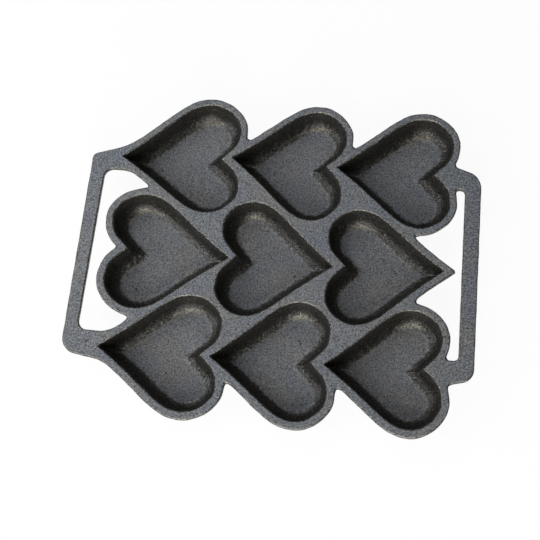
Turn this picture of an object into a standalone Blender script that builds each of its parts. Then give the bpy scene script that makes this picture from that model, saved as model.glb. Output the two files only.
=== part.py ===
"""A cast-iron cake pan: nine heart-shaped cups in three nested rows, joined at the top by a flat
deck, with a flat loop handle at each end.

The real pan is one casting. Its regions are modelled one by one: each cup with the share of the
deck round its mouth, and each handle with its roots, kept apart by a narrow seam.
The cups' flat undersides stand on z = 0. +X points to the right handle and +Y to the far row.
"""

import math

import bmesh
import bpy
import numpy as np
from mathutils import Vector

MM = 0.001

# Mouth of a cup, measured from the cup's own centre with the tip towards -X
TIP_REACH = 50.0 * MM
NOTCH_REACH = 26.0 * MM
LOBE_REACH = 40.0 * MM
HALF_WIDTH = 44.8 * MM
LOBE_TOP_AT = 17.0 * MM
LOBE_BACK_AT = 24.5 * MM
TIP_HALF_ANGLE = math.radians(35)
NOTCH_HALF_ANGLE = math.radians(46)
# Length of each curve handle: out of the tip, into and out of the lobe's top, into and out of
# the lobe's back, and into the notch
TIP_PULL = 50.0 * MM
TOP_PULL_FRONT = 19.0 * MM
TOP_PULL_BACK = 11.0 * MM
BACK_PULL_UP = 10.0 * MM
BACK_PULL_DOWN = 14.0 * MM
NOTCH_PULL = 12.0 * MM

# Layout of the cups, seen from above. Each tip points into the notch of the next cup in its row.
TIP_TO_NOTCH = 8.5 * MM
COLUMN_PITCH = TIP_REACH + TIP_TO_NOTCH + NOTCH_REACH
ROW_PITCH = 78.6 * MM
OUTER_ROW_SHIFT = 11.3 * MM  # the far and near rows sit this far right of the middle row

# Section through a cup and the deck
CUP_DEPTH = 20.0 * MM
FLOOR = 4.0 * MM
WALL = 3.0 * MM
DECK = 4.5 * MM
DRAFT = math.radians(9)
FLOOR_FILLET = 10.5 * MM
RIM_EDGE = 1.0 * MM  # height of the eased edge round a mouth
RIM_EDGE_WIDTH = 0.8 * MM
LAND = 5.5 * MM  # width of the deck outside a cup, where nothing else joins it
TIP_LAND = 7.5 * MM  # the same straight out from a cup's tip, where the corner is blunt
VALLEY_BLEND = 4.0 * MM  # how softly two lands run together at the pan's edge
SEAM = 0.5 * MM  # between neighbouring regions of the casting
HANDLE_EDGE = 0.8 * MM

# Handles. A reach runs from the outer rows' tips or lobes out to the bar's outer edge, a corner
# lies past the outer rows' own axes, and a loop ends short of them.
LEFT_REACH_FAR = 26.0 * MM
LEFT_REACH_NEAR = 31.6 * MM
LEFT_BAR = 11.3 * MM
LEFT_CORNER_FAR = -1.0 * MM
LEFT_CORNER_NEAR = 4.4 * MM
LEFT_CORNER_RADIUS_FAR = 5.0 * MM
LEFT_CORNER_RADIUS_NEAR = 12.0 * MM
LEFT_LOOP_END = 12.8 * MM
LEFT_LOOP_RADIUS = 7.0 * MM
RIGHT_REACH_FAR = 23.2 * MM
RIGHT_REACH_NEAR = 25.0 * MM
RIGHT_BAR = 12.3 * MM
RIGHT_CORNER_FAR = 1.4 * MM
RIGHT_CORNER_NEAR = 2.9 * MM
RIGHT_CORNER_RADIUS_FAR = 14.0 * MM
RIGHT_CORNER_RADIUS_NEAR = 10.0 * MM
RIGHT_LOOP_END = 11.0 * MM
RIGHT_LOOP_RADIUS = 3.2 * MM
TIP_ROOT_DEPTH = 18.0 * MM  # how far the left roots run in along the cups' tips
LOBE_ROOT_DEPTH = 12.0 * MM  # how far the right roots run in between the cups' lobes
ROOT_RISE = 12.5 * MM  # height of a root's outer edge over the row's axis, at its inner end

RAYS_PER_LOBE = 26
NOTCH_CROWDING = 1.3  # above 1, the rays lie closer together towards the notch
CURVE_STEPS = 32
CORNER_STEPS = 5
FLOOR_FILLET_STEPS = 3
BASE_FILLET_STEPS = 2
EDGE_STEP = 0.5 * MM  # how far apart a ray is probed for the edge of the deck
HALVINGS = 12  # how often the interval that holds an edge is then halved
HEIGHT = FLOOR + CUP_DEPTH

# Row and column of each cup, then the small errors of a pattern that was set and filed by hand:
# its turn in degrees, its shift to the right and away in millimetres, and by how many per cent its
# length, its far lobe and its near lobe are larger.
CUPS = {
    "cup_far_left": (1, -1, 2.5, (0.1, 0.5), (3, 0, -1)),
    "cup_far_middle": (1, 0, -1.5, (0.5, 2.0), (-2, -2, 1)),
    "cup_far_right": (1, 1, -0.5, (0.1, 0.5), (-0.5, 0, -1)),
    "cup_middle_left": (0, -1, -1.5, (-0.5, 1.0), (5, -1, 5)),
    "cup_centre": (0, 0, -2.0, (-0.5, 0.5), (-2, 0, 3)),
    "cup_middle_right": (0, 1, 1.0, (-0.5, 0.5), (-1, 0, 2)),
    "cup_near_left": (-1, -1, -0.5, (-0.9, 0.5), (3.5, 1, -1)),
    "cup_near_middle": (-1, 0, 1.0, (0.0, 0.5), (0, 2, 1)),
    "cup_near_right": (-1, 1, 2.0, (1.5, 2.0), (-2, -2, 3)),
}


def clear_scene():
    for old in list(bpy.data.objects):
        bpy.data.objects.remove(old)


def new_collection(name):
    made = bpy.data.collections.new(name)
    bpy.context.scene.collection.children.link(made)
    return made


def iron(name, colour, roughness):
    material = bpy.data.materials.new(name)
    material.use_nodes = True
    shader = material.node_tree.nodes["Principled BSDF"]
    shader.inputs["Base Color"].default_value = (*colour, 1)
    shader.inputs["Roughness"].default_value = roughness
    shader.inputs["Metallic"].default_value = 0.5
    return material


# The heart-shaped mouth


def half_heart():
    """Points and outward normals along the mouth, from the tip over one lobe to the notch."""
    tip = np.array([-TIP_REACH, 0.0])
    top = np.array([LOBE_TOP_AT, HALF_WIDTH])
    back = np.array([LOBE_REACH, LOBE_BACK_AT])
    notch = np.array([NOTCH_REACH, 0.0])
    out_of_tip = TIP_PULL * np.array([math.cos(TIP_HALF_ANGLE), math.sin(TIP_HALF_ANGLE)])
    out_of_notch = NOTCH_PULL * np.array([math.cos(NOTCH_HALF_ANGLE), math.sin(NOTCH_HALF_ANGLE)])
    curves = [
        (tip, tip + out_of_tip, top - [TOP_PULL_FRONT, 0], top),
        (top, top + [TOP_PULL_BACK, 0], back + [0, BACK_PULL_UP], back),
        (back, back - [0, BACK_PULL_DOWN], notch + out_of_notch, notch),
    ]
    points, normals = [], []
    for a, b, c, d in curves:
        for step in range(CURVE_STEPS + 1):
            t = step / CURVE_STEPS
            u = 1 - t
            points.append(u**3 * a + 3 * u * u * t * b + 3 * u * t * t * c + t**3 * d)
            along = u * u * (b - a) + 2 * u * t * (c - b) + t * t * (d - c)
            normals.append(np.array([-along[1], along[0]]) / np.linalg.norm(along))
    return np.array(points), np.array(normals)


def on_axis(point, beyond):
    """Where the line through these two points crosses the heart's own axis."""
    share = point[1] / (point[1] - beyond[1])
    return point + share * (beyond - point)


def offset_half(offset):
    """The half mouth moved outwards, with both ends cut off at the axis or run straight to it."""
    points, normals = half_heart()
    moved = points + offset * normals
    start, end = 0, len(moved)
    while moved[start][1] <= 0:
        start += 1
    while moved[end - 1][1] <= 0:
        end -= 1
    kept = moved[start:end]
    first = on_axis(kept[0], moved[start - 1] if start else kept[1])
    last = on_axis(kept[-1], moved[end] if end < len(moved) else kept[-2])
    return np.vstack([first, kept, last])


def mouth_radius(offset, angles):
    """Distance from the cup's centre to the offset mouth in each direction."""
    half = offset_half(offset)
    bearing = np.arctan2(half[:, 1], half[:, 0])
    reach = np.hypot(half[:, 0], half[:, 1])
    order = np.argsort(bearing)
    upper_half = np.abs((angles + math.pi) % (2 * math.pi) - math.pi)
    return np.interp(upper_half, bearing[order], reach[order])


LOBE_ANGLES = math.pi * (np.arange(RAYS_PER_LOBE + 1) / RAYS_PER_LOBE) ** NOTCH_CROWDING
ANGLES = np.concatenate([LOBE_ANGLES, 2 * math.pi - LOBE_ANGLES[-2:0:-1]])
DIRECTIONS = np.column_stack([np.cos(ANGLES), np.sin(ANGLES)])


def land_radius(seam=0.0):
    """The edge of a free-standing land, and of a seam round it, along the same rays."""
    return np.minimum(mouth_radius(LAND + seam, ANGLES), TIP_REACH + TIP_LAND + seam)


# Where each cup stands and how much of the deck is its own


def cup_place(name):
    """Centre and turn of a cup. The middle row points the other way."""
    row, column, turn, shift, _ = CUPS[name]
    centre = np.array([column * COLUMN_PITCH, row * ROW_PITCH]) + np.array(shift) * MM
    if row:
        centre[0] += OUTER_ROW_SHIFT
    return centre, math.radians(turn if row else turn + 180)


def stretched(name, points):
    """Points of the pattern heart, as this cup has them."""
    row, _, _, _, growth = CUPS[name]
    length, far, near = 1 + np.array(growth) / 100
    above, below = (far, near) if row else (near, far)
    widths = np.where(points[:, 1] > 0, above, below)
    return np.column_stack([points[:, 0] * length, points[:, 1] * widths])


def ring_of(name, radius):
    """Points round this cup at these distances along the rays."""
    return stretched(name, DIRECTIONS * radius[:, None])


def turned(points, angle):
    c, s = math.cos(angle), math.sin(angle)
    return points @ np.array([[c, s], [-s, c]])


def mouth_on_pan(name):
    points, _ = half_heart()
    both = np.vstack([points, points * [1, -1]])
    centre, turn = cup_place(name)
    return turned(stretched(name, both), turn) + centre


def nearest(point, outline):
    return np.sqrt(((outline - point) ** 2).sum(axis=1).min())


def among_cups(point):
    """Whether a point lies between the outermost cups' centres, where the deck has no gaps."""
    share = abs(point[1]) / ROW_PITCH
    shift = OUTER_ROW_SHIFT * share
    return share <= 1 and abs(point[0] - shift) <= COLUMN_PITCH


def softly_nearest(a, b):
    """The smaller of two distances, a little less where they are alike, as in a filleted valley."""
    closeness = max(VALLEY_BLEND - abs(a - b), 0) / VALLEY_BLEND
    return min(a, b) - closeness**2 * VALLEY_BLEND / 4


def share_radius(name):
    """Distance from the cup's centre to the edge of its share of the deck, along each ray."""
    centre, turn = cup_place(name)
    own = mouth_on_pan(name)
    others = np.vstack([mouth_on_pan(other) for other in CUPS if other != name])
    land = land_radius()
    mouth = mouth_radius(0.0, ANGLES)
    rays = turned(stretched(name, DIRECTIONS), turn)

    def belongs(ray, radius):
        point = centre + rays[ray] * radius
        mine, theirs = nearest(point, own), nearest(point, others)
        on_deck = (
            radius <= land[ray]
            or among_cups(point)
            or softly_nearest(mine, theirs) <= LAND
        )
        return on_deck and mine <= theirs - SEAM

    edge = []
    for ray in range(len(ANGLES)):
        inside = mouth[ray] + RIM_EDGE_WIDTH
        while belongs(ray, inside + EDGE_STEP) and inside < 2 * TIP_REACH:
            inside += EDGE_STEP
        outside = inside + EDGE_STEP
        for _ in range(HALVINGS):
            middle = (inside + outside) / 2
            if belongs(ray, middle):
                inside = middle
            else:
                outside = middle
        edge.append(inside)
    return np.array(edge)


def outer_wall_radius(offset):
    """The outside of the cup's wall, round at the tip, along the same rays."""
    mouth = mouth_radius(0.0, ANGLES)
    points, _ = half_heart()
    outline = np.vstack([points, points * [1, -1]])
    reach = []
    for ray in range(len(ANGLES)):
        low, high = mouth[ray], mouth[ray] + 3 * offset
        for _ in range(HALVINGS):
            middle = (low + high) / 2
            if nearest(DIRECTIONS[ray] * middle, outline) < offset:
                low = middle
            else:
                high = middle
        reach.append(low)
    return np.array(reach)


# Solids


def fillet_section(radius, centre_offset, centre_z, steps):
    """Offsets and heights along the rounded corner, from the flat floor up to the wall."""
    sweep = [math.radians(-90) + (math.radians(90) - DRAFT) * n / steps for n in range(steps + 1)]
    return [(centre_offset + radius * math.cos(a), centre_z + radius * math.sin(a)) for a in sweep]


def loft(name, rings):
    """A closed solid through rings of points, with a flat face over the first and the last."""
    mesh = bpy.data.meshes.new(name)
    sheet = bmesh.new()
    loops = [[sheet.verts.new(point) for point in ring] for ring in rings]
    for lower, upper in zip(loops, loops[1:]):
        for n, (a, b) in enumerate(zip(lower, upper)):
            sheet.faces.new((a, lower[n - 1], upper[n - 1], b))
    sheet.faces.new(loops[0])
    sheet.faces.new(list(reversed(loops[-1])))
    bmesh.ops.recalc_face_normals(sheet, faces=sheet.faces)
    sheet.to_mesh(mesh)
    sheet.free()
    return bpy.data.objects.new(name, mesh)


def make_cup(name, parts, pan):
    lean = math.tan(DRAFT)
    inner_z = FLOOR + FLOOR_FILLET
    inner_centre = -(HEIGHT - inner_z) * lean - FLOOR_FILLET / math.cos(DRAFT)
    base_fillet = FLOOR_FILLET + FLOOR
    base_centre = inner_centre + WALL - FLOOR / math.cos(DRAFT)

    def level(radius, z):
        return [(x, y, z) for x, y in ring_of(name, radius)]

    def mouth_level(offset, z):
        return level(mouth_radius(offset, ANGLES), z)

    rings = []
    for offset, z in fillet_section(FLOOR_FILLET, inner_centre, inner_z, FLOOR_FILLET_STEPS):
        rings.append(mouth_level(offset, z))
    rings.append(mouth_level(-RIM_EDGE * lean, HEIGHT - RIM_EDGE))
    share = share_radius(name)
    rim = mouth_radius(RIM_EDGE_WIDTH, ANGLES)
    wall = outer_wall_radius(WALL - DECK * lean)
    rings.append(level(np.minimum(rim, share - SEAM), HEIGHT))
    rings.append(level(share, HEIGHT))
    rings.append(level(share, HEIGHT - DECK))
    rings.append(level(np.minimum(wall, share - SEAM), HEIGHT - DECK))
    base = fillet_section(base_fillet, base_centre, base_fillet, BASE_FILLET_STEPS)
    for offset, z in reversed(base):
        rings.append(mouth_level(offset, z))
    cup = loft(name, rings)
    centre, turn = cup_place(name)
    cup.location = (*centre, 0)
    cup.rotation_euler = (0, 0, turn)
    cup.parent = pan
    cup.data.shade_smooth()
    cup.data.set_sharp_from_angle(angle=math.radians(35))
    cup.data.materials.append(iron(name, (0.11, 0.115, 0.125), 0.6))
    parts.objects.link(cup)


def make_cutter(name, cutters, pan):
    """The cup's land and a seam round it, cut out of the handle that meets it."""
    ring = ring_of(name, land_radius(SEAM))
    below = [(x, y, HEIGHT - 2 * DECK) for x, y in ring]
    above = [(x, y, HEIGHT + DECK) for x, y in ring]
    cutter = loft("land_of_" + name, [below, above])
    centre, turn = cup_place(name)
    cutter.location = (*centre, 0)
    cutter.rotation_euler = (0, 0, turn)
    cutter.parent = pan
    cutter.hide_render = True
    cutter.display_type = "WIRE"
    cutters.objects.link(cutter)
    return cutter


def rounded_outline(corners):
    """Points along an outline whose corners (x, y, radius) are replaced by arcs."""
    outline = []
    for n, (x, y, radius) in enumerate(corners):
        corner = Vector((x, y))
        before = (Vector(corners[n - 1][:2]) - corner).normalized()
        after = (Vector(corners[(n + 1) % len(corners)][:2]) - corner).normalized()
        half = before.angle(after) / 2
        reach = radius / math.tan(half)
        start = corner + before * reach
        end = corner + after * reach
        centre = corner + (before + after).normalized() * radius / math.sin(half)
        for step in range(CORNER_STEPS + 1):
            chord = start.lerp(end, step / CORNER_STEPS) - centre
            outline.append(centre + chord.normalized() * radius)
    return outline


def handle_corners(side, root_x, depth, reaches, bar, corners, radii, loop_end, loop_radius):
    """From the far root round the bar to the near root, and back along the inside of the loop."""
    far, near = ROW_PITCH, -ROW_PITCH
    inside = root_x - side * depth
    outer = [root_x + side * reach for reach in reaches]
    return [
        (inside, far + ROOT_RISE, HANDLE_EDGE),
        (outer[0], far + corners[0], radii[0]),
        (outer[1], near - corners[1], radii[1]),
        (inside, near - ROOT_RISE, HANDLE_EDGE),
        (inside, near + loop_end, HANDLE_EDGE),
        (outer[1] - side * bar, near + loop_end, loop_radius),
        (outer[0] - side * bar, far - loop_end, loop_radius),
        (inside, far - loop_end, HANDLE_EDGE),
    ]


def left_handle_corners():
    return handle_corners(
        side=-1,
        root_x=OUTER_ROW_SHIFT - COLUMN_PITCH - TIP_REACH,
        depth=TIP_ROOT_DEPTH,
        reaches=(LEFT_REACH_FAR, LEFT_REACH_NEAR),
        bar=LEFT_BAR,
        corners=(LEFT_CORNER_FAR, LEFT_CORNER_NEAR),
        radii=(LEFT_CORNER_RADIUS_FAR, LEFT_CORNER_RADIUS_NEAR),
        loop_end=LEFT_LOOP_END,
        loop_radius=LEFT_LOOP_RADIUS,
    )


def right_handle_corners():
    return handle_corners(
        side=1,
        root_x=OUTER_ROW_SHIFT + COLUMN_PITCH + LOBE_REACH,
        depth=LOBE_ROOT_DEPTH,
        reaches=(RIGHT_REACH_FAR, RIGHT_REACH_NEAR),
        bar=RIGHT_BAR,
        corners=(RIGHT_CORNER_FAR, RIGHT_CORNER_NEAR),
        radii=(RIGHT_CORNER_RADIUS_FAR, RIGHT_CORNER_RADIUS_NEAR),
        loop_end=RIGHT_LOOP_END,
        loop_radius=RIGHT_LOOP_RADIUS,
    )


def flat_plate(name, outline):
    """A plate of the deck's thickness with this outline, its top level with the rims."""
    curve = bpy.data.curves.new(name + "_outline", "CURVE")
    curve.dimensions = "2D"
    curve.fill_mode = "BOTH"
    curve.extrude = DECK / 2
    spline = curve.splines.new("POLY")
    spline.points.add(len(outline) - 1)
    for point, (x, y) in zip(spline.points, outline):
        point.co = (x, y, 0, 1)
    spline.use_cyclic_u = True
    guide = bpy.data.objects.new(name + "_outline", curve)
    guide.location.z = HEIGHT - DECK / 2
    bpy.context.scene.collection.objects.link(guide)
    graph = bpy.context.evaluated_depsgraph_get()
    mesh = bpy.data.meshes.new_from_object(guide.evaluated_get(graph))
    sheet = bmesh.new()
    sheet.from_mesh(mesh)
    bmesh.ops.remove_doubles(sheet, verts=sheet.verts, dist=1e-6)
    sheet.to_mesh(mesh)
    sheet.free()
    plate = bpy.data.objects.new(name, mesh)
    plate.matrix_world = guide.matrix_world
    bpy.data.objects.remove(guide)
    return plate


def make_handle(name, corners, cups, parts, cutters, pan):
    handle = flat_plate(name, rounded_outline(corners))
    handle.parent = pan
    bevel = handle.modifiers.new("soft_edges", "BEVEL")
    bevel.width = HANDLE_EDGE
    bevel.segments = 2
    bevel.limit_method = "ANGLE"
    bevel.angle_limit = math.radians(60)
    for cup in cups:
        cut = handle.modifiers.new("clear_of_" + cup, "BOOLEAN")
        cut.operation = "DIFFERENCE"
        cut.solver = "EXACT"
        cut.object = make_cutter(cup, cutters, pan)
    handle.data.materials.clear()
    handle.data.materials.append(iron(name, (0.13, 0.135, 0.145), 0.55))
    parts.objects.link(handle)


def stand_on_origin(parts, pan):
    """Moves the whole pan so that the origin is the middle of its footprint."""
    bpy.context.view_layer.update()
    solids = [part for part in parts.objects if part.type == "MESH"]
    corners = [solid.matrix_world @ v.co for solid in solids for v in solid.data.vertices]
    for axis in range(2):
        values = [corner[axis] for corner in corners]
        pan.location[axis] = -(min(values) + max(values)) / 2


def main():
    clear_scene()
    parts = new_collection("heart_cake_pan")
    cutters = new_collection("cutters")
    pan = bpy.data.objects.new("pan_centre", None)
    parts.objects.link(pan)
    for name in CUPS:
        make_cup(name, parts, pan)
    left_cups = ["cup_far_left", "cup_near_left"]
    right_cups = ["cup_far_right", "cup_near_right"]
    make_handle("handle_left", left_handle_corners(), left_cups, parts, cutters, pan)
    make_handle("handle_right", right_handle_corners(), right_cups, parts, cutters, pan)
    stand_on_origin(parts, pan)


main()
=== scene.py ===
import math

import bmesh
import bpy
import numpy as np
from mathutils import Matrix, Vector, noise


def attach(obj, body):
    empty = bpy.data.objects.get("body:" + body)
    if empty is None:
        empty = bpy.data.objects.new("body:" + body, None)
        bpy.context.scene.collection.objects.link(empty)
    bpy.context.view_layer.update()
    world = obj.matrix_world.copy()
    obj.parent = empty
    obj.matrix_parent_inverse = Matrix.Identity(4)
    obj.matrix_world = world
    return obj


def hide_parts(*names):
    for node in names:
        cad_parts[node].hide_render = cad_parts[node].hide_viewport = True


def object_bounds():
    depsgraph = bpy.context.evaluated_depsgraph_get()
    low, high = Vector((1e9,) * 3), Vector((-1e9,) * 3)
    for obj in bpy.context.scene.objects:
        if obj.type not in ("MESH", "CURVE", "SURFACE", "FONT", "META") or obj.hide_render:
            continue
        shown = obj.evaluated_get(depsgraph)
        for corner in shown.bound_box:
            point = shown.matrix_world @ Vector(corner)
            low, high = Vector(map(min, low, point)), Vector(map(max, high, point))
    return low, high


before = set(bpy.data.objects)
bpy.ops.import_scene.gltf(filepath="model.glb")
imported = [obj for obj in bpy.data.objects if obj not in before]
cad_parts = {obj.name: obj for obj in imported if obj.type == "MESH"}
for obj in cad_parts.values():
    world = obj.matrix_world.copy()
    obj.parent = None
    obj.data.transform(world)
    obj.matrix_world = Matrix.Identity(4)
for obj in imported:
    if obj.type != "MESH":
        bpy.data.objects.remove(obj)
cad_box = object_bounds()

# The photograph was taken from high above the near side of the pan, a little to its right. This
# camera stands there, with the lens that makes the nine cups shrink with distance as they do.
camera = bpy.data.objects.new("camera", bpy.data.cameras.new("camera"))
camera.location = (0.0727, -0.2524, 0.9552)
camera.rotation_euler = [math.radians(turn) for turn in (14.975, 3.246, 5.212)]
camera.data.sensor_width = 36
camera.data.lens = 83.33
bpy.context.scene.collection.objects.link(camera)
bpy.context.scene.camera = camera

# The mouth of a cup is a heart with a long pointed tip and two full lobes. The moulder's pattern
# repeats it nine times, so one half of it, from the tip over a lobe to the notch, is drawn once.
MM = 0.001
TIP_REACH = 50.0 * MM  # these three are from the cup's centre
NOTCH_REACH = 26.0 * MM
LOBE_REACH = 40.0 * MM
HALF_WIDTH = 44.8 * MM
LOBE_TOP_AT = 17.0 * MM  # how far along its length the heart is widest
LOBE_BACK_AT = 24.5 * MM  # how far to the side a lobe reaches furthest back
TIP_HALF_ANGLE = math.radians(35)
NOTCH_HALF_ANGLE = math.radians(46)
TIP_PULL = 50.0 * MM  # the pulls are how strongly each curve follows its ends' directions
TOP_PULL_FRONT = 19.0 * MM
TOP_PULL_BACK = 11.0 * MM
BACK_PULL_UP = 10.0 * MM
BACK_PULL_DOWN = 14.0 * MM
NOTCH_PULL = 12.0 * MM
RUN_ON = 16.0 * MM  # how far the outline runs straight on past the tip and the notch
CREASE_SOFTNESS = 0.4 * MM  # radius of the ridge at the notch and of the groove at the tip
CURVE_STEPS = 24
FAR_AWAY = 80.0 * MM  # past this distance from its centre a cup has no effect
POINTS_AT_ONCE = 20000  # about how many points have their distances worked out in one go


def half_mouth():
    tip = np.array([-TIP_REACH, 0.0])
    top = np.array([LOBE_TOP_AT, HALF_WIDTH])
    back = np.array([LOBE_REACH, LOBE_BACK_AT])
    notch = np.array([NOTCH_REACH, 0.0])
    from_tip = np.array([math.cos(TIP_HALF_ANGLE), math.sin(TIP_HALF_ANGLE)])
    from_notch = np.array([math.cos(NOTCH_HALF_ANGLE), math.sin(NOTCH_HALF_ANGLE)])
    curves = [
        (tip, tip + TIP_PULL * from_tip, top - [TOP_PULL_FRONT, 0], top),
        (top, top + [TOP_PULL_BACK, 0], back + [0, BACK_PULL_UP], back),
        (back, back - [0, BACK_PULL_DOWN], notch + NOTCH_PULL * from_notch, notch),
    ]
    points = [tip - RUN_ON * from_tip]
    for a, b, c, d in curves:
        for t in np.arange(CURVE_STEPS) / CURVE_STEPS:
            u = 1 - t
            points.append(u**3 * a + 3 * u * u * t * b + 3 * u * t * t * c + t**3 * d)
    return np.array(points + [notch, notch - RUN_ON * from_notch])


def signed_distance(points, line):
    """Distance from each point to the line, positive on the line's left."""
    starts, along = line[:-1], np.diff(line, axis=0)
    square = (along**2).sum(axis=1)
    found = []
    for part in np.array_split(points, len(points) // POINTS_AT_ONCE + 1):
        away = part[:, None] - starts
        share = np.clip((away * along).sum(axis=2) / square, 0, 1)
        gap = away - share[:, :, None] * along
        nearest = (gap**2).sum(axis=2).argmin(axis=1)
        rows = np.arange(len(part))
        along_x, along_y = along[nearest].T
        away_x, away_y = away[rows, nearest].T
        side = np.sign(along_x * away_y - along_y * away_x)
        found.append(side * np.hypot(*gap[rows, nearest].T))
    return np.concatenate(found)


# The nine cups stand in three rows. The outer rows point left and the middle row points right,
# nested between them. The pattern was set and filed by hand, so each cup has its own turn in
# degrees, shift in millimetres, and per cent by which its length and its two lobes are larger.
COLUMN_PITCH = 84.5 * MM
ROW_PITCH = 78.6 * MM
OUTER_ROW_SHIFT = 11.3 * MM
LAYOUT_CENTRE = np.array([-3.2, -0.7]) * MM  # the middle of the grid, from the pan's own middle
CUPS = {  # row, column, turn, shift, and growth of the length, the far lobe and the near lobe
    "cup_far_left": (1, -1, 2.5, (0.1, 0.5), (3, 0, -1)),
    "cup_far_middle": (1, 0, -1.5, (0.5, 2.0), (-2, -2, 1)),
    "cup_far_right": (1, 1, -0.5, (0.1, 0.5), (-0.5, 0, -1)),
    "cup_middle_left": (0, -1, -1.5, (-0.5, 1.0), (5, -1, 5)),
    "cup_centre": (0, 0, -2.0, (-0.5, 0.5), (-2, 0, 3)),
    "cup_middle_right": (0, 1, 1.0, (-0.5, 0.5), (-1, 0, 2)),
    "cup_near_left": (-1, -1, -0.5, (-0.9, 0.5), (3.5, 1, -1)),
    "cup_near_middle": (-1, 0, 1.0, (0.0, 0.5), (0, 2, 1)),
    "cup_near_right": (-1, 1, 2.0, (1.5, 2.0), (-2, -2, 3)),
}
RIM_WANDER = 0.22 * MM  # how far the cast rim strays from a clean line
RIM_STRAYS = 160.0  # in a metre
RIM_SEED = 7.0
WALL_LUMP = 0.16 * MM  # how far the sand's grain lifts the walls
WALL_LUMPS = 420.0  # in a metre
WALL_SEED = 8.0
half_line = half_mouth()


def cup_place(name):
    """Centre and turn of a cup. The middle row points the other way."""
    row, column, turn, shift, _ = CUPS[name]
    across = column * COLUMN_PITCH + abs(row) * OUTER_ROW_SHIFT
    centre = LAYOUT_CENTRE + [across, row * ROW_PITCH] + np.array(shift) * MM
    return centre, math.radians(turn if row else turn + 180)


def wander(points, per_metre, amount, seed):
    """Smooth noise over the plan, with so many strays in a metre, each this large at most."""
    plan = points * per_metre
    return amount * np.array([noise.noise((x, y, seed)) for x, y in plan])


def from_mouths(points):
    """How far each point lies outside each cup's mouth, one row to a cup."""
    strays = wander(points, RIM_STRAYS, RIM_WANDER, RIM_SEED)
    strays += wander(points, WALL_LUMPS, WALL_LUMP, WALL_SEED)
    rows = []
    for name, (row, _, _, _, growth) in CUPS.items():
        length, far, near = 1 + np.array(growth) / 100
        above, below = (far, near) if row else (near, far)
        centre, turn = cup_place(name)
        away = points - centre
        close = np.hypot(*away.T) < FAR_AWAY
        x = away[close] @ [math.cos(turn), math.sin(turn)] / length
        y = away[close] @ [-math.sin(turn), math.cos(turn)]
        y /= np.where(y > 0, above, below)
        folded = np.column_stack([x, np.hypot(y, CREASE_SOFTNESS) - CREASE_SOFTNESS / 2])
        outside = np.full(len(points), FAR_AWAY)
        outside[close] = signed_distance(folded, half_line)
        rows.append(outside + strays)
    return np.array(rows)


def soft_least(a, b, blend):
    """The smaller of two distances, a little less where they are alike, as in a filleted valley."""
    closeness = np.maximum(blend - np.abs(a - b), 0) / blend
    return np.minimum(a, b) - closeness**2 * blend / 4


# Two flat handles are cast level with the deck, one at each end. The left one is a wide loop
# round the middle cup's lobes and the right one a narrow loop round the middle cup's point.
TIP_ROOT_DEPTH = 18.0 * MM  # how far the left roots run in along the cups' tips
LOBE_ROOT_DEPTH = 12.0 * MM  # how far the right roots run in between the cups' lobes
ROOT_RISE = 12.5 * MM  # height of a root's outer edge over the row's axis, at its inner end
ROOT_CORNER = 0.8 * MM
CORNER_STEPS = 10


def handle_corners(side, root_x, depth, reaches, bar, corners, radii, loop_end, loop_radius):
    """From the far root round the bar to the near root, and back along the inside of the loop."""
    far, near = ROW_PITCH, -ROW_PITCH
    inside = root_x - side * depth
    outer = [root_x + side * reach * MM for reach in reaches]
    return [
        (inside, far + ROOT_RISE, ROOT_CORNER),
        (outer[0], far + corners[0] * MM, radii[0] * MM),
        (outer[1], near - corners[1] * MM, radii[1] * MM),
        (inside, near - ROOT_RISE, ROOT_CORNER),
        (inside, near + loop_end * MM, ROOT_CORNER),
        (outer[1] - side * bar * MM, near + loop_end * MM, loop_radius * MM),
        (outer[0] - side * bar * MM, far - loop_end * MM, loop_radius * MM),
        (inside, far - loop_end * MM, ROOT_CORNER),
    ]


def rounded_outline(corners):
    outline = []
    for n, (x, y, radius) in enumerate(corners):
        corner = Vector((x, y))
        before = (Vector(corners[n - 1][:2]) - corner).normalized()
        after = (Vector(corners[(n + 1) % len(corners)][:2]) - corner).normalized()
        half = before.angle(after) / 2
        start = corner + before * radius / math.tan(half)
        end = corner + after * radius / math.tan(half)
        centre = corner + (before + after).normalized() * radius / math.sin(half)
        for step in range(CORNER_STEPS + 1):
            chord = start.lerp(end, step / CORNER_STEPS) - centre
            outline.append(centre + chord.normalized() * radius)
    return np.array(outline) + LAYOUT_CENTRE


def inside_outline(points, outline):
    """Whether each point lies inside, by how often a ray to the right crosses the outline."""
    inside = np.zeros(len(points), bool)
    for a, b in zip(outline, np.roll(outline, -1, axis=0)):
        if a[1] != b[1]:
            spans = (a[1] > points[:, 1]) != (b[1] > points[:, 1])
            crossing = a[0] + (points[:, 1] - a[1]) / (b[1] - a[1]) * (b[0] - a[0])
            inside ^= spans & (points[:, 0] < crossing)
    return inside


def from_outline(points, outline):
    """How far each point lies outside a closed outline."""
    gap = np.abs(signed_distance(points, np.vstack([outline, outline[:1]])))
    return np.where(inside_outline(points, outline), -gap, gap)


# Each handle's sizes are in millimetres, and its pairs are for the far end, then the near end.
left_outline = rounded_outline(handle_corners(
    side=-1, root_x=OUTER_ROW_SHIFT - COLUMN_PITCH - TIP_REACH, depth=TIP_ROOT_DEPTH,
    reaches=(26.0, 31.6), bar=11.3, corners=(-1.0, 4.4), radii=(5.0, 12.0),
    loop_end=12.8, loop_radius=7.0,
))
right_outline = rounded_outline(handle_corners(
    side=1, root_x=OUTER_ROW_SHIFT + COLUMN_PITCH + LOBE_REACH, depth=LOBE_ROOT_DEPTH,
    reaches=(23.2, 25.0), bar=12.3, corners=(1.4, 2.9), radii=(14.0, 10.0),
    loop_end=11.0, loop_radius=3.2,
))


def from_handles(points):
    return np.minimum(from_outline(points, left_outline), from_outline(points, right_outline))


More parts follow.
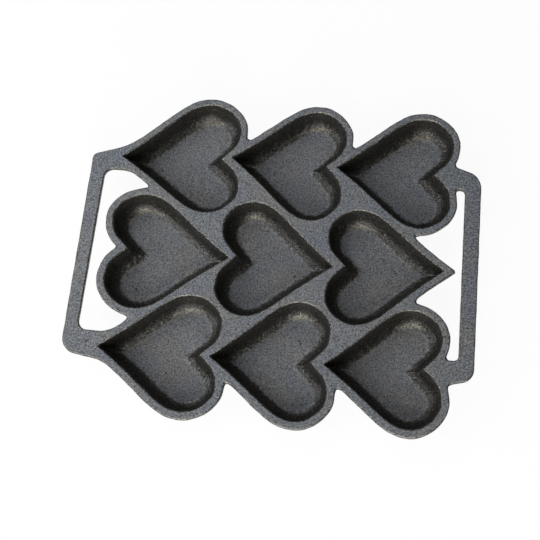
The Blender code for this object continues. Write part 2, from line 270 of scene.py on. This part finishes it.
# The deck is the flat web that joins the rims. It follows each rim at the width of a land, runs
# into the next land with a small fillet, and fills every gap between the cups.
LAND = 5.9 * MM
LAND_SWING = 0.6 * MM  # the near rims have this much more land, and the far rims this much less
PAN_HALF_DEPTH = 130.0 * MM
VALLEY_BLEND = 6.0 * MM
ROOT_BLEND = 4.0 * MM
EDGE_WANDER = 0.25 * MM  # how far the cast edge strays from a clean line
EDGE_STRAYS = 90.0  # in a metre
EDGE_SEED = 3.0


def among_cups(points):
    """Distance outside the polygon through the outermost cups' centres."""
    ring = ["cup_far_left", "cup_far_right", "cup_middle_right", "cup_near_right", "cup_near_left",
            "cup_middle_left"]
    return from_outline(points, np.array([cup_place(name)[0] for name in ring]))


def from_edge(points, mouths):
    """How far each point lies outside the pan's edge."""
    nearest = np.sort(mouths, axis=0)
    land = LAND - LAND_SWING * points[:, 1] / PAN_HALF_DEPTH
    lands = soft_least(nearest[0], nearest[1], VALLEY_BLEND) - land
    edge = soft_least(lands, from_handles(points), ROOT_BLEND)
    strays = wander(points, EDGE_STRAYS, EDGE_WANDER, EDGE_SEED)
    return np.minimum(edge, among_cups(points)) + strays


# The section is that of a sand casting: a floor and walls of even thickness, a wide fillet
# between them, walls that lean out so that the pattern draws, and every edge rounded.
HEIGHT = 24.0 * MM
FLOOR = 4.0 * MM
WALL = 3.0 * MM
DECK = 4.5 * MM
DRAFT = math.radians(9)
DRAFT_SLOPE = math.tan(DRAFT)
FLOOR_FILLET = 10.5 * MM
BASE_FILLET = FLOOR_FILLET + FLOOR
RIM_ROUND = 1.5 * MM
EDGE_ROUND = 1.3 * MM
UNDER_EDGE_ROUND = 1.0 * MM
UNDER_FILLET = 2.0 * MM
TOP_WAVE = 0.18 * MM  # how far the cast top is from flat
TOP_WAVES = 28.0  # in a metre
TOP_SEED = 11.0
FINE_STEPS = 60


def arc(centre, radius, start, end, steps):
    """Offsets and heights along an arc, its angles in degrees from the outward direction."""
    angles = np.radians(np.linspace(start, end, steps))
    return [(centre[0] + radius * math.cos(a), centre[1] + radius * math.sin(a)) for a in angles]


def cup_section(steps):
    """From the floor up the fillet and the wall and over the rounded rim to the deck."""
    lean = math.degrees(DRAFT)
    fillet_z = FLOOR + FLOOR_FILLET
    fillet_x = -(HEIGHT - fillet_z) * DRAFT_SLOPE - FLOOR_FILLET / math.cos(DRAFT)
    rim_z = HEIGHT - RIM_ROUND
    rim_x = -RIM_ROUND * DRAFT_SLOPE + RIM_ROUND / math.cos(DRAFT)
    fillet = arc((fillet_x, fillet_z), FLOOR_FILLET, -90, -lean, steps)
    return fillet + arc((rim_x, rim_z), RIM_ROUND, 180 - lean, 90, steps)


def underside_section(steps):
    """From the flat base up the outside of the wall to the underside of the deck."""
    lean = math.degrees(DRAFT)
    deck_z = HEIGHT - DECK
    base_x = WALL - (HEIGHT - BASE_FILLET) * DRAFT_SLOPE - BASE_FILLET / math.cos(DRAFT)
    deck_x = WALL - (DECK + UNDER_FILLET) * DRAFT_SLOPE + UNDER_FILLET / math.cos(DRAFT)
    base = arc((base_x, BASE_FILLET), BASE_FILLET, -90, -lean, steps)
    return base + arc((deck_x, deck_z - UNDER_FILLET), UNDER_FILLET, 180 - lean, 90, steps)


def along_section(offsets, section):
    across, up = np.array(section).T
    return np.interp(offsets, across, up)


def rounded_edge(outside, radius):
    """How far a rounded edge has dropped from the flat, at this distance outside the edge."""
    return radius - np.sqrt(np.maximum(radius**2 - np.clip(outside + radius, 0, radius) ** 2, 0))


top_section = cup_section(FINE_STEPS)
base_section = underside_section(FINE_STEPS)


def heights(points, on_edge):
    """Heights of the casting's top and underside over the plan, and the distance past its edge."""
    mouths = from_mouths(points)
    outside = np.where(on_edge, 0.0, np.minimum(from_edge(points, mouths), 0.0))
    nearest = np.sort(mouths, axis=0)
    wave = wander(points, TOP_WAVES, TOP_WAVE, TOP_SEED)
    top = along_section(nearest[0], top_section) + wave - rounded_edge(outside, EDGE_ROUND)
    under = along_section(soft_least(nearest[0], nearest[1], VALLEY_BLEND), base_section)
    return top, under + rounded_edge(outside, UNDER_EDGE_ROUND), outside


# The whole plan is first a flat sheet of small squares. It is cut along the pan's edge, along
# the borders between the cups' shares, and along every line where the section bends.
CELL = 2.0 * MM
SNAP = 0.1 * MM  # a cut this close to a point of the sheet goes through that point
MARGIN = 6.0 * MM
EDGE_CUTS = [0.0] + [-EDGE_ROUND * share for share in (1.0, 0.6, 0.3, 0.08)]
WALL_CUTS = [-1.9 * MM, -1.4 * MM, -0.9 * MM]  # points on the wall for its lumps to move
TOP_ARC_CUTS = 7  # lines along each fillet and each rounded rim
UNDER_ARC_CUTS = 5


def flat_sheet():
    """A grid over the whole footprint. It is made one metre wide, then stretched to its size."""
    low, high = (np.array(corner[:2]) for corner in cad_box)
    low, high = low - MARGIN, high + MARGIN
    counts = np.ceil((high - low) / CELL).astype(int)
    sheet = bmesh.new()
    middle = (low + high) / 2
    bmesh.ops.create_grid(sheet, x_segments=int(counts[0]), y_segments=int(counts[1]), size=0.5)
    for v in sheet.verts:
        v.co.x = middle[0] + v.co.x * counts[0] * CELL
        v.co.y = middle[1] + v.co.y * counts[1] * CELL
    return sheet


def plan_points(sheet):
    return np.array([v.co[:2] for v in sheet.verts])


def cut_along(sheet, values, levels):
    """Cuts the sheet along the lines where the values at its points pass these levels."""
    for v, value in zip(sheet.verts, values):
        v.co.z = value
    for level in levels:
        everything = sheet.verts[:] + sheet.edges[:] + sheet.faces[:]
        bmesh.ops.bisect_plane(
            sheet, geom=everything, dist=SNAP, plane_co=(0, 0, level), plane_no=(0, 0, 1)
        )


def drop_outside(sheet):
    """Removes what lies outside the pan's edge."""
    beyond = [f for f in sheet.faces if max(v.co.z for v in f.verts) > SNAP]
    bmesh.ops.delete(sheet, geom=beyond, context="FACES")


def cut_creases(sheet):
    """Cuts along each heart's own axis, where the notch's ridge and the tip's groove are."""
    for name in CUPS:
        centre, turn = cup_place(name)
        across = Vector((-math.sin(turn), math.cos(turn), 0))
        for shift in (-CREASE_SOFTNESS, 0.0, CREASE_SOFTNESS):
            near = [f for f in sheet.faces
                    if (f.calc_center_median().xy - Vector(centre)).length < TIP_REACH + LAND]
            parts = dict.fromkeys(part for f in near for part in (f, *f.verts, *f.edges))
            bmesh.ops.bisect_plane(
                sheet, geom=list(parts), dist=SNAP,
                plane_co=Vector((*centre, 0)) + across * shift, plane_no=across,
            )


def handle_side(points, mouths):
    """Above zero where the handles own the plan, outside the cups' lands."""
    land = np.min(mouths, axis=0) - LAND
    return np.where(from_handles(points) < ROOT_BLEND, land, -LAND)


sheet = flat_sheet()
points = plan_points(sheet)
cut_along(sheet, from_edge(points, from_mouths(points)), EDGE_CUTS)
drop_outside(sheet)
cut_creases(sheet)
for n in range(len(CUPS)):
    mouths = from_mouths(plan_points(sheet))
    cut_along(sheet, mouths[n] - np.delete(mouths, n, axis=0).min(axis=0), [0.0])
points = plan_points(sheet)
cut_along(sheet, handle_side(points, from_mouths(points)), [0.0])
nearest = np.sort(from_mouths(plan_points(sheet)), axis=0)
cut_along(sheet, nearest[0], [offset for offset, _ in cup_section(TOP_ARC_CUTS)] + WALL_CUTS)
nearest = np.sort(from_mouths(plan_points(sheet)), axis=0)
softened = soft_least(nearest[0], nearest[1], VALLEY_BLEND)
cut_along(sheet, softened, [offset for offset, _ in underside_section(UNDER_ARC_CUTS)])

points = plan_points(sheet)
on_edge = np.array([v.is_boundary for v in sheet.verts])
sheet.verts.index_update()
sheet.faces.index_update()
faces = [[v.index for v in f.verts] for f in sheet.faces]
middles = np.array([points[face].mean(axis=0) for face in faces])
sheet.free()
top, under, outside = heights(points, on_edge)

# The cuts have parted the sheet into eleven regions of the one casting. Each cup takes the plan
# nearest to its mouth, and the handles take their own outlines past the cups' lands.
mouths = from_mouths(middles)
owners = np.array(list(CUPS))[mouths.argmin(axis=0)]
nearer_handle = np.where(middles[:, 0] < 0, "handle_left", "handle_right")
owners = np.where(handle_side(middles, mouths) > 0, nearer_handle, owners)

# Inside a cup, the wall and its fillet are darkened with painted shade, and the floor is left grey.
# How far the iron is left unshaded goes by the distance from the mouth, from the floor up to the
# rim and the deck.
UNSHADED_DEPTHS = [-9.5 * MM, -4.5 * MM, -1.0 * MM, 0.0]
UNSHADED_SHARES = [1, 0, 0, 1]
unshaded_share = np.interp(from_mouths(points).min(axis=0), UNSHADED_DEPTHS, UNSHADED_SHARES)

# The surfaces are shaded by the slopes of the casting itself, so no facet of the mesh shows.
STENCIL = 0.1 * MM  # how far to each side of a point its slope is measured
LEAST_LENGTH = 1e-9  # keeps a normal of no length from being divided by zero


def slopes_along(step):
    """How steeply the top, the underside and the distance past the edge rise along this step."""
    anywhere = np.zeros(len(points), bool)
    ahead = heights(points + step, anywhere)
    behind = heights(points - step, anywhere)
    return [(a - b) / (2 * STENCIL) for a, b in zip(ahead, behind)]


top_x, under_x, past_edge_x = slopes_along((STENCIL, 0))
top_y, under_y, past_edge_y = slopes_along((0, STENCIL))


def surface_normals(slope_x, slope_y, up):
    """Normals of a surface with these slopes. Along the pan's edge they point straight out."""
    normals = np.column_stack([-slope_x * up, -slope_y * up, np.full(len(points), up)])
    outwards = np.column_stack([past_edge_x, past_edge_y, np.zeros(len(points))])
    normals[on_edge] = outwards[on_edge]
    return normals / np.maximum(np.linalg.norm(normals, axis=1), LEAST_LENGTH)[:, None]


top_normals = surface_normals(top_x, top_y, 1.0)
under_normals = surface_normals(under_x, under_y, -1.0)


def closed_region(name):
    """The part of the casting that this owner has, as a closed solid."""
    mine = [face for face, owner in zip(faces, owners) if owner == name]
    used = sorted({corner for face in mine for corner in face})
    index = {corner: n for n, corner in enumerate(used)}
    count = len(used)
    upper = [[index[corner] for corner in face] for face in mine]
    lower = [[corner + count for corner in reversed(face)] for face in upper]
    borders = [pair for face in upper for pair in zip(face, face[1:] + face[:1])]
    walked = set(borders)
    sides = [[b, a, a + count, b + count] for a, b in borders if (b, a) not in walked]
    corners = np.vstack([
        np.column_stack([points[used], top[used]]),
        np.column_stack([points[used], under[used]]),
    ])
    mesh = bpy.data.meshes.new(name)
    mesh.from_pydata(corners.tolist(), [], upper + lower + sides)
    mesh.shade_smooth()
    # Each corner keeps how far it is left out of the painted shade; the underside is left out
    # fully.
    unshaded = mesh.attributes.new("unshaded_share", "FLOAT", "POINT")
    unshaded.data.foreach_set("value", np.concatenate([unshaded_share[used], np.ones(count)]))
    mesh.normals_split_custom_set_from_vertices(
        np.vstack([top_normals[used], under_normals[used]]).tolist()
    )
    piece = bpy.data.objects.new("iron_" + name, mesh)
    bpy.context.scene.collection.objects.link(piece)
    return piece


# The iron is sand-cast, so it is covered with fine grain and small pits. Its deck and floors are a
# cool grey. The walls are darkened black and brown with painted shade, the fillets of the far lobes
# carry a warmer painted highlight, and the rims a lighter one.
iron = bpy.data.materials.new("seasoned_iron")
iron.use_nodes = True
nodes = iron.node_tree.nodes  # the functions below add to the nodes and links set last
links = iron.node_tree.links
shader = nodes["Principled BSDF"]
place = nodes.new("ShaderNodeTexCoord")


def cast_noise(scale, detail, roughness):
    """Noise with this many lumps in a metre."""
    made = nodes.new("ShaderNodeTexNoise")
    made.inputs["Scale"].default_value = scale
    made.inputs["Detail"].default_value = detail
    made.inputs["Roughness"].default_value = roughness
    links.new(place.outputs["Object"], made.inputs["Vector"])
    return made.outputs["Fac"]


def ramp(value, stops):
    """Colours for values from 0 to 1."""
    made = nodes.new("ShaderNodeValToRGB")
    elements = made.color_ramp.elements
    for n, (position, colour) in enumerate(stops):
        stop = elements[n] if n < len(elements) else elements.new(position)
        stop.position = position
        stop.color = (*colour, 1)
    links.new(value, made.inputs["Fac"])
    return made.outputs["Color"]


def spread(value, low, high, to_low=0.0, to_high=1.0):
    """The value's share of the way from low to high, eased at both ends."""
    made = nodes.new("ShaderNodeMapRange")
    made.interpolation_type = "SMOOTHSTEP"
    made.inputs["From Min"].default_value = low
    made.inputs["From Max"].default_value = high
    made.inputs["To Min"].default_value = to_low
    made.inputs["To Max"].default_value = to_high
    links.new(value, made.inputs["Value"])
    return made.outputs["Result"]


def combine(operation, *values):
    made = nodes.new("ShaderNodeMath")
    made.operation = operation
    for value, socket in zip(values, made.inputs):
        if isinstance(value, float):
            socket.default_value = value
        else:
            links.new(value, socket)
    return made.outputs["Value"]


def ragged(value, noise_value, width):
    """The value with noise added, which takes it up and down by half this width."""
    return combine("ADD", value, combine("MULTIPLY_ADD", noise_value, width, -width / 2))


def blend_colour(kind, factor, below, above):
    """Two colours mixed. Of the node's like-named sockets, only those for colour are enabled."""
    made = nodes.new("ShaderNodeMix")
    made.data_type = "RGBA"
    made.blend_type = kind
    for socket, value in (("Factor", factor), ("A", below), ("B", above)):
        target = next(i for i in made.inputs if i.name == socket and i.enabled)
        if isinstance(value, float):
            target.default_value = value
        else:
            links.new(value, target)
    return next(o for o in made.outputs if o.enabled)


normal = nodes.new("ShaderNodeSeparateXYZ")
links.new(place.outputs["Normal"], normal.inputs["Vector"])
position = nodes.new("ShaderNodeSeparateXYZ")
links.new(place.outputs["Object"], position.inputs["Vector"])
grain = cast_noise(scale=800.0, detail=2.5, roughness=0.65)
sand = cast_noise(scale=420.0, detail=2.0, roughness=0.6)
mottle = cast_noise(scale=35.0, detail=3.0, roughness=0.55)

# What faces up is left out of the painted shade. On the far side of each cup, facing the near
# lamps, the grey goes further up the fillet as a painted highlight, and the sand's grain breaks the
# border between the grey iron and the painted shade.
LEAST_SQUARE = 0.0001  # keeps a normal that points straight up from being divided by zero
tilt = ragged(normal.outputs["Z"], sand, 0.12)
squared = combine("MULTIPLY", normal.outputs["Z"], normal.outputs["Z"])
level_square = combine("MAXIMUM", combine("SUBTRACT", 1.0, squared), LEAST_SQUARE)
facing = combine("DIVIDE", normal.outputs["Y"], combine("SQRT", level_square))
far_side = spread(facing, low=-0.72, high=-0.97)
far_side_highlight = combine("MULTIPLY", far_side, spread(tilt, low=0.50, high=0.90))
upward = combine("MAXIMUM", spread(tilt, low=0.91, high=0.99), far_side_highlight)
unshaded_attribute = nodes.new("ShaderNodeAttribute")
unshaded_attribute.attribute_name = "unshaded_share"
off_walls = spread(ragged(unshaded_attribute.outputs["Fac"], sand, 0.6), low=0.0, high=0.8)
unshaded = combine("MULTIPLY", upward, off_walls)

# The grey iron is a salt and pepper of dark and bright grains, in cool and warm patches. It is
# bluer on the deck than on the floors, and on the fillets it carries a browner, brighter painted
# highlight.
FLOOR_DARK = (0.042, 0.043, 0.046)
FLOOR_BRIGHT = (0.240, 0.243, 0.250)
DECK_DARK = (0.044, 0.046, 0.050)
DECK_BRIGHT = (0.246, 0.255, 0.267)
COOL_PATCH = (0.87, 0.92, 1.0)
WARM_PATCH = (1.0, 0.975, 0.94)
FILLET_HIGHLIGHT_DARK = (0.042, 0.040, 0.035)
FILLET_HIGHLIGHT_BRIGHT = (0.285, 0.270, 0.218)
floor_grey = ramp(grain, [(0.32, FLOOR_DARK), (0.68, FLOOR_BRIGHT)])
deck_grey = ramp(grain, [(0.34, DECK_DARK), (0.66, DECK_BRIGHT)])
on_deck = spread(position.outputs["Z"], low=HEIGHT - 6 * MM, high=HEIGHT - 1 * MM)
grey_and_highlight = blend_colour("MIX", on_deck, floor_grey, deck_grey)
patches = ramp(mottle, [(0.35, COOL_PATCH), (0.65, WARM_PATCH)])
grey_and_highlight = blend_colour("MULTIPLY", 1.0, grey_and_highlight, patches)
# Painted highlight: the fillets take a browner, brighter grey.
on_fillet = spread(normal.outputs["Z"], low=0.99, high=0.88)
fillet_highlight_colour = ramp(grain, [(0.38, FILLET_HIGHLIGHT_DARK), (0.62, FILLET_HIGHLIGHT_BRIGHT)])
grey_and_highlight = blend_colour("MIX", on_fillet, grey_and_highlight, fillet_highlight_colour)

# The walls' painted shade is nearly black, brown in places, with painted glints on the highest
# grains.
WALL_SHADE_BLACK = (0.009, 0.009, 0.009)
WALL_SHADE_BROWN = (0.0235, 0.0232, 0.0208)
WALL_GLINT_DIM = (0.042, 0.040, 0.033)
WALL_GLINT_BRIGHT = (0.130, 0.122, 0.096)
wall_shade_and_glints = ramp(grain, [
    (0.40, WALL_SHADE_BLACK), (0.56, WALL_SHADE_BROWN), (0.60, WALL_GLINT_DIM), (0.70, WALL_GLINT_BRIGHT),
])
# Painted shade: outside the unshaded share, the walls and fillets take the dark colours above.
colour = blend_colour("MIX", unshaded, wall_shade_and_glints, grey_and_highlight)

# The rounded rims carry a broken painted highlight, and pits stay dark everywhere.
RIM_HIGHLIGHT_DARK = (0.13, 0.13, 0.125)
RIM_HIGHLIGHT_BRIGHT = (0.34, 0.335, 0.32)
PIT_DARK = (0.020, 0.019, 0.017)
PIT_BRIGHT = (0.030, 0.028, 0.025)
rim_height = spread(position.outputs["Z"], low=HEIGHT - 1.1 * MM, high=HEIGHT - 0.5 * MM)
rim_bend = spread(normal.outputs["Z"], low=0.995, high=0.93)
rim_highlight = combine("MULTIPLY", rim_height, rim_bend)
rim_highlight = combine("MULTIPLY", rim_highlight, spread(grain, low=0.46, high=0.60, to_high=0.55))
rim_highlight_grey = ramp(sand, [(0.32, RIM_HIGHLIGHT_DARK), (0.68, RIM_HIGHLIGHT_BRIGHT)])
colour = blend_colour("MIX", rim_highlight, colour, rim_highlight_grey)
pores = nodes.new("ShaderNodeTexVoronoi")
pores.inputs["Scale"].default_value = 260.0
links.new(place.outputs["Object"], pores.inputs["Vector"])
pitted = cast_noise(scale=90.0, detail=1.0, roughness=0.5)
pit_size = spread(pitted, low=0.55, high=0.76, to_high=0.24)
pit = combine("GREATER_THAN", pit_size, pores.outputs["Distance"])
pit_colour = ramp(grain, [(0.0, PIT_DARK), (1.0, PIT_BRIGHT)])
colour = blend_colour("MIX", pit, colour, pit_colour)
links.new(colour, shader.inputs["Base Color"])

# The walls under the painted shade shine more than the grey iron, and their grain stands higher.
# Pits are sunk into both.
roughness = ragged(spread(unshaded, low=0.0, high=1.0, to_low=0.30, to_high=0.50), sand, 0.2)
links.new(roughness, shader.inputs["Roughness"])
shader.inputs["Metallic"].default_value = 0.35
relief = combine("MULTIPLY_ADD", sand, 0.5, combine("MULTIPLY", grain, 0.5))
relief = combine("SUBTRACT", relief, combine("MULTIPLY", pit, 0.7))
bump = nodes.new("ShaderNodeBump")
relief_strength = spread(unshaded, low=0.0, high=1.0, to_low=1.0, to_high=0.60)
links.new(relief_strength, bump.inputs["Strength"])
bump.inputs["Distance"].default_value = 0.9 * MM
links.new(relief, bump.inputs["Height"])
links.new(bump.outputs["Normal"], shader.inputs["Normal"])

for name in [*CUPS, "handle_left", "handle_right"]:
    piece = closed_region(name)
    piece.data.materials.append(iron)
    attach(piece, "root")
    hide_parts(name)

# The pan lies on a wide sheet of white paper. The camera and anything glossy see the paper
# nearly pure white, with only a trace of the pan's shadow.
PAPER_REACH = 3.0
PAPER_DROP = 0.2 * MM
PAPER_GLOW = 0.94  # the share of what the camera sees that takes no shadow
paper_mesh = bpy.data.meshes.new("paper")
corners = [(-1, -1), (1, -1), (1, 1), (-1, 1)]
paper_corners = [(x * PAPER_REACH, y * PAPER_REACH, -PAPER_DROP) for x, y in corners]
paper_mesh.from_pydata(paper_corners, [], [(0, 1, 2, 3)])
paper = bpy.data.objects.new("paper", paper_mesh)
bpy.context.scene.collection.objects.link(paper)
white = bpy.data.materials.new("white_paper")
white.use_nodes = True
nodes = white.node_tree.nodes
links = white.node_tree.links
paper_shader = nodes["Principled BSDF"]
paper_shader.inputs["Base Color"].default_value = (0.9, 0.9, 0.9, 1)
paper_shader.inputs["Roughness"].default_value = 1.0
glow = nodes.new("ShaderNodeEmission")
ray = nodes.new("ShaderNodeLightPath")
seen = combine("ADD", ray.outputs["Is Camera Ray"], ray.outputs["Is Glossy Ray"])
seen = combine("ADD", seen, ray.outputs["Is Transmission Ray"])
paper_mix = nodes.new("ShaderNodeMixShader")
links.new(combine("MULTIPLY", seen, PAPER_GLOW), paper_mix.inputs["Fac"])
links.new(paper_shader.outputs["BSDF"], paper_mix.inputs[1])
links.new(glow.outputs["Emission"], paper_mix.inputs[2])
links.new(paper_mix.outputs["Shader"], nodes["Material Output"].inputs["Surface"])
paper_mesh.materials.append(white)

# The studio is white up to a little above the horizon and dim overhead. Two soft lamps stand on
# the near side, one low and one higher, with a low one at the left and weak ones at the far left
# and overhead.
WHITE_UP_TO = 0.10  # these two are how high a direction points, from 0 level to 1 straight up
DIM_FROM = 0.30
DIM = 0.13
LAMP_DISTANCE = 1.2
WARM = (1.0, 0.975, 0.92)
NEUTRAL = (0.99, 0.99, 1.0)
COOL = (0.96, 0.98, 1.0)
world = bpy.data.worlds.new("studio")
world.use_nodes = True
nodes = world.node_tree.nodes
links = world.node_tree.links
direction = nodes.new("ShaderNodeTexCoord")
split = nodes.new("ShaderNodeSeparateXYZ")
links.new(direction.outputs["Generated"], split.inputs["Vector"])
walls = spread(split.outputs["Z"], low=WHITE_UP_TO, high=DIM_FROM, to_low=1.0, to_high=DIM)
links.new(walls, nodes["Background"].inputs["Strength"])
nodes["Background"].inputs["Color"].default_value = (1, 1, 1, 1)
bpy.context.scene.world = world
bpy.context.scene.view_settings.view_transform = "Standard"


def soft_light(name, azimuth, elevation, size, power, colour):
    """A square lamp that faces the pan, its angles in degrees and its power in watts."""
    data = bpy.data.lights.new(name, "AREA")
    data.energy = power
    data.size = size
    data.color = colour
    made = bpy.data.objects.new(name, data)
    across = LAMP_DISTANCE * math.cos(math.radians(elevation))
    made.location = (
        across * math.cos(math.radians(azimuth)),
        across * math.sin(math.radians(azimuth)),
        LAMP_DISTANCE * math.sin(math.radians(elevation)),
    )
    made.rotation_euler = made.location.to_track_quat("Z", "Y").to_euler()
    bpy.context.scene.collection.objects.link(made)


soft_light("near_softbox", azimuth=267, elevation=18, size=0.5, power=10.0, colour=WARM)
soft_light("near_lamp", azimuth=270, elevation=42, size=0.3, power=4.6, colour=WARM)
soft_light("left_softbox", azimuth=196, elevation=27, size=0.5, power=8.5, colour=NEUTRAL)
soft_light("far_left_softbox", azimuth=140, elevation=42, size=0.5, power=2.8, colour=COOL)
soft_light("overhead_softbox", azimuth=110, elevation=70, size=0.6, power=2.0, colour=COOL)
